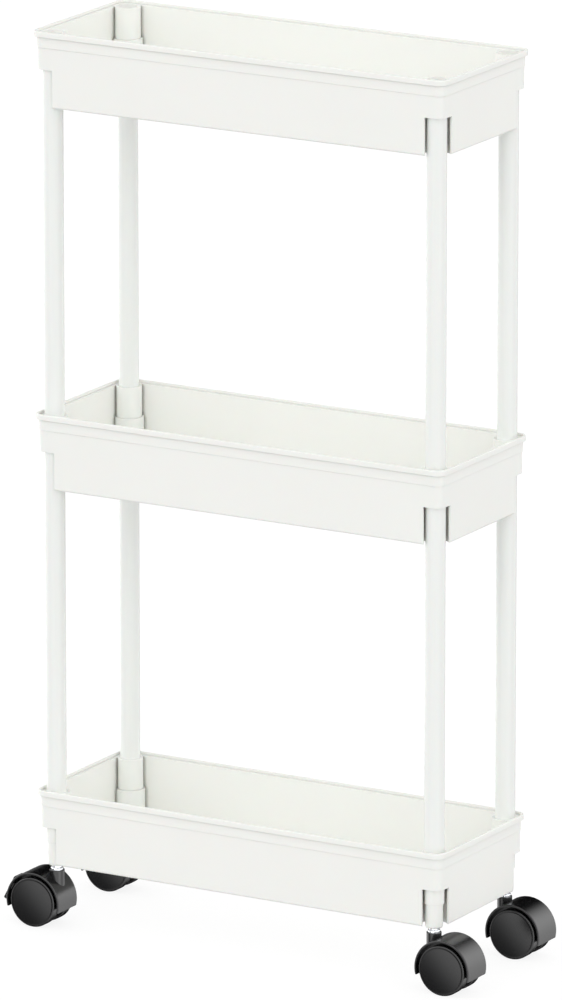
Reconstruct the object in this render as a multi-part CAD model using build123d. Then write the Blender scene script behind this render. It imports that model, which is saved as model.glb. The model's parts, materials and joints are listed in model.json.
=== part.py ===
from build123d import *
import math
import os

# Slim three-tier rolling cart: three identical moulded trays, eight plastic tubes pushed
# into the trays' corner sockets, and four hooded twin-wheel swivel casters.
# Millimetres. +Z is up and z = 0 is the floor. The origin is on the floor under the middle
# of the trays. X runs along the long side, and -Y is the front.

os.makedirs("parts", exist_ok=True)

# Trays
tray_length = 370.0
tray_width = 140.0
tray_depth = 60.8
overall_height = 728.0
tier_pitch = 307.4
wall = 2.0
floor_thickness = 2.2
lip_height = 4.4
lip_corner = 9.0
ledge_depth = 2.2
band_height = 8.8
band_inset = 2.3
wall_inset = 3.0
base_round = 1.6
inside_round = 3.0
edge_round = 0.8

# Corner columns of a tray, measured down from its rim
post_inset = 13.25
upper_boss_radius = 10.4
lower_boss_radius = 11.9
lower_boss_top = 27.5
socket_depth = 14.0
socket_web = 4.0
notch_top = 30.6
notch_reach = 5.4
pocket_radius = 10.2

# Tubes
tube_radius = 8.0
tube_wall = 1.3
slip_gap = 0.05
tube_chamfer = 0.4

# Casters
wheel_radius = 20.15
wheel_inner_face = 5.9
wheel_outer_face = 14.6
wheel_dome = 1.0
tread_round = 0.9
groove_radius = 18.8
groove_depth = 0.7
dome_radius = 18.0
axle_end_gap = 0.2
trail = 14.6
hood_radius = 24.4
hood_wall = 1.6
hood_half_width = 14.4
hood_drop = 5.9
core_half_width = 5.6
axle_radius = 2.5
axle_half_length = 13.0
neck_radius = 6.0
neck_top = 46.5
neck_round = 0.4
stem_end_gap = 0.5

# Caster stems and the sockets that hold them in the bottom tray
stem_radius = 4.0
stem_bottom = 22.0
stem_top = 79.0
collar_radius = 5.0
collar_bottom = 45.7
collar_top = 48.6
collar_round = 0.9
collar_cup_gap = 0.25
stem_chamfer = 1.0
ring_groove_depth = 0.4
ring_outer = 4.45
ring_inner = 3.65
ring_slit = 1.2
grip_ring_low = 72.0
grip_ring_high = 75.0
socket_end = 50.3
socket_step = 70.0
socket_lower_radius = 7.0
socket_round = 1.5
socket_head_room = 2.0
socket_ring_room = 0.5

# Brake lever, in the plane of the wheels and measured from the axle. The pedal is a flat
# plate, and its outer face stands square to a line that rises at pedal_tilt from the axle.
lever_hub = (14.6, 13.6)
lever_hub_radius = 2.2
lever_pin_radius = 1.0
lever_arm_half = 3.4
lever_arm_thickness = 2.6
lever_slot_radius = 10.6
lever_slot_gap = 0.3
pedal_tilt = 28.0
pedal_inner = 25.2
pedal_outer = 26.9
pedal_top = 4.0
pedal_bottom = 18.0
pedal_half_width = 6.0
pedal_corner = 2.5
pad_inner = 21.45
pad_outer = 22.6
pad_start = 22.0
pad_stop = 36.0
pad_half_width = 13.0
pad_room_start = 12.0
pad_room_stop = 44.0
pad_room_gap = 0.1

floor_to_rim = {
    "bottom": overall_height - 2 * tier_pitch,
    "middle": overall_height - tier_pitch,
    "top": overall_height,
}
corners = {
    "front_left": (-1, -1),
    "rear_left": (-1, 1),
    "front_right": (1, -1),
    "rear_right": (1, 1),
}
post_x = tray_length / 2 - post_inset
post_y = tray_width / 2 - post_inset


def save(shape, node):
    export_step(shape, f"parts/{node}.step")


def upright(radius, low, high, x=0.0, y=0.0):
    """A vertical cylinder from one height to another."""
    return Pos(x, y, (low + high) / 2) * Cylinder(radius, high - low)


def crosswise(radius, low, high, x=0.0, z=0.0):
    """A cylinder along Y from one y to another."""
    return Pos(x, (low + high) / 2, z) * Rot(90, 0, 0) * Cylinder(radius, high - low)


def ring_sector(inner, outer, start, stop, half_width, x=0.0, z=0.0):
    """Part of a ring about an axis along Y, between two angles from +X towards +Z."""
    def point(radius, degrees):
        angle = math.radians(degrees)
        return (radius * math.cos(angle), radius * math.sin(angle))

    middle = (start + stop) / 2
    with BuildSketch() as outline:
        with BuildLine():
            ThreePointArc(point(outer, start), point(outer, middle), point(outer, stop))
            Line(point(outer, stop), point(inner, stop))
            ThreePointArc(point(inner, stop), point(inner, middle), point(inner, start))
            Line(point(inner, start), point(outer, start))
        make_face()
    solid = extrude(outline.sketch, half_width, both=True)
    return Pos(x, 0, z) * Rot(90, 0, 0) * solid


def tray_prism(inset, low, high):
    """The tray's rounded outline, pulled in by an inset, between two heights."""
    radius = max(lip_corner - inset, 1.5)
    outline = RectangleRounded(tray_length - 2 * inset, tray_width - 2 * inset, radius)
    return Pos(0, 0, low) * extrude(outline, high - low)


def tray():
    """One tray, with the top of its rim at z = 0."""
    band_bottom = -(lip_height + band_height)
    lip = tray_prism(0, -lip_height, 0)
    lip = fillet(lip.faces().sort_by(Axis.Z)[-1].edges(), edge_round)
    lip = fillet(lip.faces().sort_by(Axis.Z)[0].edges(), edge_round / 2)
    band = tray_prism(band_inset, band_bottom, -lip_height)
    band = fillet(band.faces().sort_by(Axis.Z)[0].edges(), (wall_inset - band_inset) / 2)
    sides = tray_prism(wall_inset, -tray_depth, band_bottom)
    sides = fillet(sides.faces().sort_by(Axis.Z)[0].edges(), base_round)
    body = lip + band + sides
    cavity = tray_prism(wall_inset + wall, floor_thickness - tray_depth, 0)
    cavity = fillet(cavity.faces().sort_by(Axis.Z)[0].edges(), inside_round)
    body -= cavity
    body -= tray_prism(wall, -ledge_depth, edge_round)

    inside_of_wall = tray_prism(wall_inset + wall / 2, -tray_depth, -ledge_depth)
    for side_x, side_y in corners.values():
        x = side_x * post_x
        y = side_y * post_y
        boss = upright(upper_boss_radius, -lower_boss_top, -ledge_depth, x, y)
        boss += upright(lower_boss_radius, -tray_depth, -lower_boss_top, x, y)
        body += boss & inside_of_wall
    for side_x, side_y in corners.values():
        x = side_x * post_x
        y = side_y * post_y
        bore = tube_radius + slip_gap
        body -= upright(bore, -socket_depth, 0, x, y)
        body -= upright(bore, -notch_top, -(socket_depth + socket_web), x, y)
        body -= upright(pocket_radius, -tray_depth - 1, -notch_top, x, y)
        reach = notch_reach + post_inset
        notch_x = side_x * (post_x - notch_reach + reach / 2)
        notch_y = side_y * (post_y - notch_reach + reach / 2)
        notch_height = tray_depth - notch_top + 1
        notch_z = -notch_top - notch_height / 2
        body -= Pos(notch_x, notch_y, notch_z) * Box(reach, reach, notch_height)
    return body


def tube():
    """One upright tube, with its lower end at z = 0."""
    length = tier_pitch - socket_web
    outside = upright(tube_radius, 0, length)
    outside = chamfer(outside.edges().filter_by(GeomType.CIRCLE), tube_chamfer)
    return outside - upright(tube_radius - tube_wall, 0, length)


def caster_socket():
    """The stepped plastic plug that carries a caster stem in the bottom tray."""
    top = floor_to_rim["bottom"] - socket_depth - socket_web
    plug = upright(tube_radius, socket_step, top)
    nose = upright(socket_lower_radius, socket_end, socket_step)
    nose = fillet(nose.faces().sort_by(Axis.Z)[0].edges(), socket_round)
    plug += nose
    plug -= upright(stem_radius + slip_gap, socket_end, stem_top + socket_head_room)
    ring_room = stem_radius + socket_ring_room
    plug -= upright(ring_room, grip_ring_low - slip_gap, grip_ring_high + slip_gap)
    return plug


def stem():
    """The steel swivel stem, with its collar and the groove for the grip ring."""
    pin = upright(stem_radius, stem_bottom, stem_top)
    pin = chamfer(pin.faces().sort_by(Axis.Z)[-1].edges(), stem_chamfer)
    collar = upright(collar_radius, collar_bottom, collar_top)
    collar = fillet(collar.faces().sort_by(Axis.Z)[-1].edges(), collar_round)
    pin += collar
    groove = upright(collar_radius, grip_ring_low, grip_ring_high)
    groove -= upright(stem_radius - ring_groove_depth, grip_ring_low, grip_ring_high)
    return pin - groove


def grip_ring():
    """The split spring ring near the top of the stem."""
    low = grip_ring_low + slip_gap
    high = grip_ring_high - slip_gap
    ring = upright(ring_outer, low, high) - upright(ring_inner, low, high)
    return ring - Pos(stem_radius, 0, (low + high) / 2) * Box(stem_radius, ring_slit, high - low)


def housing(braked):
    """Hood, middle web and swivel neck in one moulding, trailing towards +X."""
    hood = crosswise(hood_radius, -hood_half_width, hood_half_width)
    hood = fillet(hood.edges().filter_by(GeomType.CIRCLE), edge_round)
    inner = hood_radius - hood_wall
    neck = upright(neck_radius, 0, neck_top - wheel_radius, -trail)
    neck = fillet(neck.faces().sort_by(Axis.Z)[-1].edges(), neck_round)
    body = hood + neck
    for side in (-1, 1):
        outer_end = side * (hood_half_width + 1)
        low, high = sorted((side * core_half_width, outer_end))
        body -= crosswise(inner, low, high)
    below = hood_radius + 1
    body -= Pos(0, 0, -hood_drop - below / 2) * Box(3 * below, 3 * below, below)
    body -= crosswise(axle_radius, -core_half_width, core_half_width)
    stem_foot = stem_bottom - wheel_radius - stem_end_gap
    body -= upright(stem_radius + slip_gap, stem_foot, below, -trail)
    cup_floor = collar_bottom - wheel_radius - collar_cup_gap
    body -= upright(collar_radius + collar_cup_gap, cup_floor, neck_top, -trail)
    if braked:
        hub_x, hub_z = lever_hub
        slot = lever_arm_half + lever_slot_gap
        body -= crosswise(lever_slot_radius, -slot, slot, hub_x, hub_z)
        room_half = core_half_width + pad_room_gap
        body -= ring_sector(wheel_radius, inner, pad_room_start, pad_room_stop, room_half)
        cheek = core_half_width - pad_room_gap
        body -= crosswise(lever_pin_radius, -cheek, cheek, hub_x, hub_z)
    return Pos(trail, 0, wheel_radius) * body


def plate(corners_xz, half_width):
    """A flat-sided solid across the wheels, from its outline in X and Z."""
    with BuildSketch() as outline:
        with BuildLine():
            Polyline(*corners_xz, close=True)
        make_face()
    return Rot(90, 0, 0) * extrude(outline.sketch, half_width, both=True)


def lever():
    """Brake lever: hub, arm, flat wide pedal, and the pad that bears on both treads."""
    tilt = math.radians(pedal_tilt)
    out_x, out_z = math.cos(tilt), math.sin(tilt)
    hub_x, hub_z = lever_hub

    def on_pedal(distance, along):
        """The point at a distance from the axle and so far down the pedal."""
        return (distance * out_x + along * out_z, distance * out_z - along * out_x)

    body = crosswise(lever_hub_radius, -lever_arm_half, lever_arm_half, hub_x, hub_z)
    pedal = plate(
        [
            on_pedal(pedal_inner, -pedal_top),
            on_pedal(pedal_outer, -pedal_top),
            on_pedal(pedal_outer, pedal_bottom),
            on_pedal(pedal_inner, pedal_bottom),
        ],
        pedal_half_width,
    )
    tip = pedal.faces().sort_by(Axis.Z)[0].edges().filter_by(Axis.Y, reverse=True)
    body += fillet(tip, pedal_corner)
    body += plate(
        [
            (hub_x, hub_z - lever_arm_thickness / 2),
            on_pedal(pad_outer, 0),
            on_pedal(pedal_outer, 0),
            on_pedal(pedal_outer, -pedal_top),
            (hub_x, hub_z + lever_arm_thickness / 2),
        ],
        lever_arm_half,
    )
    body += ring_sector(pad_inner, pad_outer, pad_start, pad_stop, pad_half_width)
    body -= crosswise(lever_pin_radius + slip_gap, -pad_half_width, pad_half_width, hub_x, hub_z)
    return Pos(trail, 0, wheel_radius) * body


def lever_pin():
    half = core_half_width - pad_room_gap
    pin = crosswise(lever_pin_radius, -half, half, *lever_hub)
    return Pos(trail, 0, wheel_radius) * pin


def axle():
    pin = crosswise(axle_radius, -axle_half_length, axle_half_length)
    pin = chamfer(pin.edges().filter_by(GeomType.CIRCLE), neck_round)
    return Pos(trail, 0, wheel_radius) * pin


def wheel(side):
    """One wheel of the pair, with a grooved and slightly domed outer face."""
    face = wheel_outer_face
    disc = crosswise(wheel_radius, wheel_inner_face, face)
    disc = fillet(disc.edges().filter_by(GeomType.CIRCLE), tread_round)
    disc -= crosswise(groove_radius, face - groove_depth, face)
    cap_radius = (dome_radius**2 + wheel_dome**2) / (2 * wheel_dome)
    cap = Pos(0, face + wheel_dome - cap_radius, 0) * Sphere(cap_radius)
    disc += cap & crosswise(dome_radius, face - 2 * groove_depth, face + 2 * wheel_dome)
    bore_end = axle_half_length + axle_end_gap
    disc -= crosswise(axle_radius + slip_gap, wheel_inner_face, bore_end)
    if side < 0:
        disc = Rot(0, 0, 180) * disc
    return Pos(trail, 0, wheel_radius) * disc


tray_shape = tray()
for tier, rim in floor_to_rim.items():
    save(Pos(0, 0, rim) * tray_shape, f"tray_{tier}")

tube_shape = tube()
for level, lower_tray in (("lower", "bottom"), ("upper", "middle")):
    foot = floor_to_rim[lower_tray] - socket_depth
    for corner, (side_x, side_y) in corners.items():
        save(Pos(side_x * post_x, side_y * post_y, foot) * tube_shape, f"post_{level}_{corner}")

socket_shape = caster_socket()
stem_shape = stem()
ring_shape = grip_ring()
axle_shape = axle()
lever_shape = lever()
lever_pin_shape = lever_pin()
wheel_shapes = {side: wheel(side) for side in (-1, 1)}
housing_shapes = {braked: housing(braked) for braked in (False, True)}
for corner, (side_x, side_y) in corners.items():
    # Every caster trails away from the middle of the cart: +X on the right, -X on the left.
    braked = side_x < 0
    turn = 180 if braked else 0
    place = Pos(side_x * post_x, side_y * post_y, 0) * Rot(0, 0, turn)
    save(place * socket_shape, f"caster_socket_{corner}")
    save(place * stem_shape, f"caster_stem_{corner}")
    save(place * ring_shape, f"grip_ring_{corner}")
    save(place * housing_shapes[braked], f"caster_housing_{corner}")
    save(place * axle_shape, f"axle_{corner}")
    for side, wheel_shape in wheel_shapes.items():
        world_side = side * (-1 if braked else 1)
        name = "outboard" if world_side == side_y else "inboard"
        save(place * wheel_shape, f"wheel_{name}_{corner}")
    if braked:
        save(place * lever_shape, f"brake_lever_{corner}")
        save(place * lever_pin_shape, f"brake_pin_{corner}")
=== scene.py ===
import json
import math

import bpy
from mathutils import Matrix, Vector

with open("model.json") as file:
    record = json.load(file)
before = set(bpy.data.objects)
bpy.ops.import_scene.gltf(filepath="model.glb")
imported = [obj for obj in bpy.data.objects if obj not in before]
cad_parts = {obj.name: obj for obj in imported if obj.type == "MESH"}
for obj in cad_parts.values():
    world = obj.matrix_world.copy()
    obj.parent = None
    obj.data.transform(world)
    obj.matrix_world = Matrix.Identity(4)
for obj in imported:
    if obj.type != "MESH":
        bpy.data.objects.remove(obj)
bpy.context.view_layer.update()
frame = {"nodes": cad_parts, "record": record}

# Slim three-tier rolling cart: white moulded trays on white tubes, all polypropylene, with
# black twin-wheel casters. Metres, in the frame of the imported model: +Z up, -Y the front.

POLYPROPYLENE_IOR = 1.49
NYLON_IOR = 1.53

# The places of a colour mix's two colours among its inputs, and of the colour it gives.
FIRST, SECOND, MIXED = 6, 7, 2


def mm(value):
    return value / 1000


def linear(hex_colour):
    """A linear RGBA colour from an sRGB hex value such as 'F4F5F0'."""
    channels = [int(hex_colour[i : i + 2], 16) / 255 for i in (0, 2, 4)]
    return [c / 12.92 if c <= 0.04045 else ((c + 0.055) / 1.055) ** 2.4 for c in channels] + [1.0]


def per_metre(size_mm):
    """The scale that gives a noise pattern features about this many millimetres across."""
    return 1000 / size_mm


def add(tree, kind, settings=None, links=None):
    """Adds a node. Settings are its own properties or its inputs' values, and links are the
    outputs that feed its inputs. An input goes by its name, or by its place where names repeat."""
    node = tree.nodes.new(kind)
    for key, value in (settings or {}).items():
        if isinstance(key, int) or key in node.inputs:
            node.inputs[key].default_value = value
        else:
            setattr(node, key, value)
    for key, source in (links or {}).items():
        tree.links.new(source, node.inputs[key])
    return node


def new_material(name):
    material = bpy.data.materials.new(name)
    material.use_nodes = True
    material.node_tree.nodes.clear()
    return material, material.node_tree


def moulded_white_polypropylene():
    """Injection-moulded polypropylene, tinted white, from a satin spark-eroded mould.
    The eye sees a soft, broad sheen and a faint unevenness where the melt flowed; thin walls
    let a little light through."""
    flow_mm = 70
    wave_mm = 45
    # The real grain is about 0.1 mm, far too fine to show, so it is drawn at 1.4 mm.
    grain_mm = 1.4
    # How far from an inside corner the painted shade reaches.
    painted_shade_reach_mm = 4
    material, tree = new_material("moulded_white_polypropylene")
    place = {"Vector": add(tree, "ShaderNodeTexCoord").outputs["Object"]}
    flow = add(tree, "ShaderNodeTexNoise", {"Scale": per_metre(flow_mm), "Detail": 2.0}, place)
    tint = add(
        tree,
        "ShaderNodeMix",
        {"data_type": "RGBA", FIRST: linear("F5F6F2"), SECOND: linear("F2F3EF")},
        {"Factor": flow.outputs["Fac"]},
    )
    # Painted shade: inside corners are drawn greyer by an ambient occlusion node, to stand for the
    # shade that falls in them.
    painted_shade_ao = add(tree, "ShaderNodeAmbientOcclusion", {"Distance": mm(painted_shade_reach_mm), "samples": 8})
    painted_shade_amount = add(
        tree,
        "ShaderNodeMapRange",
        {"From Min": 0.25, "From Max": 0.75, "To Min": 1.0, "To Max": 0.0},
        {"Value": painted_shade_ao.outputs["AO"]},
    )
    # The tint, greyed towards C2C2BC by the painted shade in inside corners.
    colour = add(
        tree,
        "ShaderNodeMix",
        {"data_type": "RGBA", SECOND: linear("C2C2BC")},
        {"Factor": painted_shade_amount.outputs["Result"], FIRST: tint.outputs[MIXED]},
    )
    grain = add(tree, "ShaderNodeTexNoise", {"Scale": per_metre(grain_mm), "Detail": 3.0}, place)
    shine = add(
        tree,
        "ShaderNodeMapRange",
        {"To Min": 0.38, "To Max": 0.52},
        {"Value": grain.outputs["Fac"]},
    )
    waves = add(tree, "ShaderNodeTexNoise", {"Scale": per_metre(wave_mm), "Detail": 1.0}, place)
    wavy = add(
        tree,
        "ShaderNodeBump",
        {"Strength": 0.25, "Distance": mm(0.5)},
        {"Height": waves.outputs["Fac"]},
    )
    rough = add(
        tree,
        "ShaderNodeBump",
        {"Strength": 0.12, "Distance": mm(0.05)},
        {"Height": grain.outputs["Fac"], "Normal": wavy.outputs["Normal"]},
    )
    shader = add(
        tree,
        "ShaderNodeBsdfPrincipled",
        {"IOR": POLYPROPYLENE_IOR, "Subsurface Weight": 0.08, "Subsurface Scale": mm(3)},
        {
            "Base Color": colour.outputs[MIXED],
            "Roughness": shine.outputs["Result"],
            "Normal": rough.outputs["Normal"],
        },
    )
    add(tree, "ShaderNodeOutputMaterial", links={"Surface": shader.outputs["BSDF"]})
    return material


def extruded_white_polypropylene():
    """Extruded polypropylene tube. The die leaves faint lines along its length, so the sheen
    is a little streaky lengthwise and smooth round the tube."""
    # Die lines are some 0.2 mm apart, drawn at 1.5 mm so that they show.
    line_mm = 1.5
    stretched_along_tube = (1.0, 1.0, 0.02)
    material, tree = new_material("extruded_white_polypropylene")
    place = add(tree, "ShaderNodeTexCoord").outputs["Object"]
    drawn = add(tree, "ShaderNodeMapping", {"Scale": stretched_along_tube}, {"Vector": place})
    lines = add(
        tree,
        "ShaderNodeTexNoise",
        {"Scale": per_metre(line_mm), "Detail": 2.0},
        {"Vector": drawn.outputs["Vector"]},
    )
    tint = add(
        tree,
        "ShaderNodeMix",
        {"data_type": "RGBA", FIRST: linear("F4F5F2"), SECOND: linear("F0F1EE")},
        {"Factor": lines.outputs["Fac"]},
    )
    shine = add(
        tree,
        "ShaderNodeMapRange",
        {"To Min": 0.33, "To Max": 0.45},
        {"Value": lines.outputs["Fac"]},
    )
    ridges = add(
        tree,
        "ShaderNodeBump",
        {"Strength": 0.15, "Distance": mm(0.05)},
        {"Height": lines.outputs["Fac"]},
    )
    shader = add(
        tree,
        "ShaderNodeBsdfPrincipled",
        {"IOR": POLYPROPYLENE_IOR, "Subsurface Weight": 0.08, "Subsurface Scale": mm(3)},
        {
            "Base Color": tint.outputs[MIXED],
            "Roughness": shine.outputs["Result"],
            "Normal": ridges.outputs["Normal"],
        },
    )
    add(tree, "ShaderNodeOutputMaterial", links={"Surface": shader.outputs["BSDF"]})
    return material


def moulded_black(name, dark, light, roughness, grain_mm, bump_mm, ior):
    """Black plastic from a lightly grained mould: deep colour, with the shine broken up by the
    grain and a little cloudiness where the melt met the mould."""
    cloud_mm = 12
    smoothest, roughest = roughness
    material, tree = new_material(name)
    place = {"Vector": add(tree, "ShaderNodeTexCoord").outputs["Object"]}
    cloud = add(tree, "ShaderNodeTexNoise", {"Scale": per_metre(cloud_mm), "Detail": 2.0}, place)
    tint = add(
        tree,
        "ShaderNodeMix",
        {"data_type": "RGBA", FIRST: linear(dark), SECOND: linear(light)},
        {"Factor": cloud.outputs["Fac"]},
    )
    grain = add(tree, "ShaderNodeTexNoise", {"Scale": per_metre(grain_mm), "Detail": 3.0}, place)
    shine = add(
        tree,
        "ShaderNodeMapRange",
        {"To Min": smoothest, "To Max": roughest},
        {"Value": grain.outputs["Fac"]},
    )
    bumps = add(
        tree,
        "ShaderNodeBump",
        {"Strength": 0.3, "Distance": mm(bump_mm)},
        {"Height": grain.outputs["Fac"]},
    )
    shader = add(
        tree,
        "ShaderNodeBsdfPrincipled",
        {"IOR": ior},
        {
            "Base Color": tint.outputs[MIXED],
            "Roughness": shine.outputs["Result"],
            "Normal": bumps.outputs["Normal"],
        },
    )
    add(tree, "ShaderNodeOutputMaterial", links={"Surface": shader.outputs["BSDF"]})
    return material


def zinc_plated_steel():
    """Bright zinc plate on turned steel: a sharp, slightly bluish reflection. The faint marks
    run level, as the lathe leaves them round the upright stems."""
    # The tool marks are about 0.1 mm apart, drawn at 0.8 mm.
    mark_mm = 0.8
    stretched_level = (0.05, 0.05, 1.0)
    material, tree = new_material("zinc_plated_steel")
    place = add(tree, "ShaderNodeTexCoord").outputs["Object"]
    turned = add(tree, "ShaderNodeMapping", {"Scale": stretched_level}, {"Vector": place})
    rings = add(
        tree,
        "ShaderNodeTexNoise",
        {"Scale": per_metre(mark_mm), "Detail": 2.0},
        {"Vector": turned.outputs["Vector"]},
    )
    shine = add(
        tree,
        "ShaderNodeMapRange",
        {"To Min": 0.1, "To Max": 0.22},
        {"Value": rings.outputs["Fac"]},
    )
    marks = add(
        tree,
        "ShaderNodeBump",
        {"Strength": 0.2, "Distance": mm(0.03)},
        {"Height": rings.outputs["Fac"]},
    )
    shader = add(
        tree,
        "ShaderNodeBsdfPrincipled",
        {"Base Color": linear("D6D8DC"), "Metallic": 1.0},
        {"Roughness": shine.outputs["Result"], "Normal": marks.outputs["Normal"]},
    )
    add(tree, "ShaderNodeOutputMaterial", links={"Surface": shader.outputs["BSDF"]})
    return material


white = moulded_white_polypropylene()
tube_white = extruded_white_polypropylene()
hood_black = moulded_black(
    "moulded_black_nylon",
    dark="070708",
    light="0D0D0E",
    roughness=(0.2, 0.28),
    grain_mm=1.2,
    bump_mm=0.02,
    ior=NYLON_IOR,
)
wheel_black = moulded_black(
    "moulded_black_polypropylene",
    dark="0A0A0B",
    light="101011",
    roughness=(0.2, 0.27),
    grain_mm=1.0,
    bump_mm=0.012,
    ior=POLYPROPYLENE_IOR,
)
finishes = {
    "tray_plastic": white,
    "socket_plastic": white,
    "tube_plastic": tube_white,
    "hood_plastic": hood_black,
    "lever_plastic": hood_black,
    "wheel_plastic": wheel_black,
    "plated_steel": zinc_plated_steel(),
}
for part in frame["record"]["subparts"]:
    node = frame["nodes"][part["node"]]
    node.data.materials.clear()
    node.data.materials.append(finishes[part["material_slot"]])


# Floor
FLOOR_HALF = 60.0
corners = [(x * FLOOR_HALF, y * FLOOR_HALF, 0) for x, y in ((-1, -1), (1, -1), (1, 1), (-1, 1))]
floor_mesh = bpy.data.meshes.new("floor")
floor_mesh.from_pydata(corners, [], [(0, 1, 2, 3)])
floor = bpy.data.objects.new("floor", floor_mesh)
bpy.context.scene.collection.objects.link(floor)
acrylic, acrylic_tree = new_material("backlit_acrylic_floor")
panel = add(
    acrylic_tree,
    "ShaderNodeBsdfPrincipled",
    {
        "Base Color": linear("6E6E6E"),
        "Roughness": 0.8,
        "IOR": 1.2,
        "Emission Color": linear("FFFFFF"),
        "Emission Strength": 0.86,
    },
)
add(acrylic_tree, "ShaderNodeOutputMaterial", links={"Surface": panel.outputs["BSDF"]})
floor.data.materials.append(acrylic)
# The floor is seen, but it lights nothing and shows in no reflection: the lower half of the
# studio stands in for it.
floor.visible_diffuse = False
floor.visible_glossy = False
floor.visible_shadow = False

# Camera
YAW = math.radians(30.13)
PITCH = math.radians(14.54)
AIM = Vector((0.0007, 0.0004, 0.3589))
DISTANCE = 8.637
LENS = 396.5
SENSOR = 36.0
forward = Vector(
    (-math.sin(YAW) * math.cos(PITCH), math.cos(YAW) * math.cos(PITCH), -math.sin(PITCH))
)
camera = bpy.data.objects.new("camera", bpy.data.cameras.new("camera"))
bpy.context.scene.collection.objects.link(camera)
camera.location = AIM - forward * DISTANCE
camera.rotation_euler = forward.to_track_quat("-Z", "Y").to_euler()
camera.data.lens = LENS
camera.data.sensor_width = SENSOR
camera.data.clip_start = 0.1
camera.data.clip_end = 200.0
bpy.context.scene.camera = camera

# Light: a studio all round, by direction. Matt surfaces get bright upper walls, and a dimmer
# ceiling and floor. Reflections show a separate, darker room, bright at a window to the right
# and a little back, over the front all but its low left, and at a panel to the left. The camera
# sees white. Each glow is aimed one way, and its strength eases from one value to another as the
# cosine between that way and the direction seen goes from start to end.
UP = (0, 0, 1)
GLOWS = {
    "upper_walls": {"aim": UP, "cosine": (0.0, 0.4), "strength": (0.66, 1.5)},
    "ceiling": {"aim": UP, "cosine": (0.5, 1.0), "strength": (1.0, 0.4)},
    "front_fill": {"aim": (-0.35, -0.93, 0), "cosine": (-0.9, 0.9), "strength": (-0.1, 0.07)},
    "window": {"aim": (0.9, 0.43, 0), "cosine": (0.25, 0.85), "strength": (0.01, 2.9)},
    "window_height": {"aim": UP, "cosine": (-0.4, 0.35), "strength": (0.55, 1.0)},
    "all_but_low_left": {"aim": (1, 0, 1), "cosine": (-0.65, -0.36), "strength": (0.06, 2.1)},
    "front": {"aim": (0, -1, 0), "cosine": (-0.2, 0.4), "strength": (0.0, 1.0)},
    "left_panel": {"aim": (-1, 0.1, 0), "cosine": (0.6, 0.9), "strength": (0.0, 2.0)},
}
# Each line names a value and works it out from two glows, earlier values or numbers.
STEPS = (
    ("upper_half", "MULTIPLY", "upper_walls", "ceiling"),
    ("matt_light", "ADD", "upper_half", "front_fill"),
    ("window_light", "MULTIPLY", "window", "window_height"),
    ("front_light", "MULTIPLY", "all_but_low_left", "front"),
    ("panel_light", "ADD", "front_light", "left_panel"),
    ("gloss_light", "ADD", "window_light", "panel_light"),
    ("is_not_gloss", "SUBTRACT", 1.0, "is_gloss"),
    ("gloss_part", "MULTIPLY", "is_gloss", "gloss_light"),
    ("matt_part", "MULTIPLY", "is_not_gloss", "matt_light"),
    ("both_parts", "ADD", "gloss_part", "matt_part"),
    ("strength", "MAXIMUM", "both_parts", "is_camera"),
)
world = bpy.data.worlds.new("studio")
world.use_nodes = True
world.cycles.sampling_method = "NONE"
bpy.context.scene.world = world
sky = world.node_tree
sky.nodes.clear()
seen = add(sky, "ShaderNodeTexCoord").outputs["Generated"]
ray = add(sky, "ShaderNodeLightPath").outputs
values = {"is_gloss": ray["Is Glossy Ray"], "is_camera": ray["Is Camera Ray"]}
for name, glow in GLOWS.items():
    start, end = glow["cosine"]
    before, after = glow["strength"]
    cosine = add(
        sky,
        "ShaderNodeVectorMath",
        {"operation": "DOT_PRODUCT", 1: Vector(glow["aim"]).normalized()},
        {0: seen},
    )
    values[name] = add(
        sky,
        "ShaderNodeMapRange",
        {
            "interpolation_type": "SMOOTHSTEP",
            "From Min": start,
            "From Max": end,
            "To Min": before,
            "To Max": after,
        },
        {"Value": cosine.outputs["Value"]},
    ).outputs["Result"]
for name, operation, *terms in STEPS:
    numbers = {place: term for place, term in enumerate(terms) if term not in values}
    sources = {place: values[term] for place, term in enumerate(terms) if term in values}
    step = add(sky, "ShaderNodeMath", {"operation": operation, **numbers}, sources)
    values[name] = step.outputs["Value"]
around = add(
    sky, "ShaderNodeBackground", {"Color": linear("FFFFFF")}, {"Strength": values["strength"]}
)
add(sky, "ShaderNodeOutputWorld", links={"Surface": around.outputs["Background"]})

view = bpy.context.scene.view_settings
view.view_transform = "Standard"
view.look = "None"
view.exposure = 0.0
view.gamma = 1.0
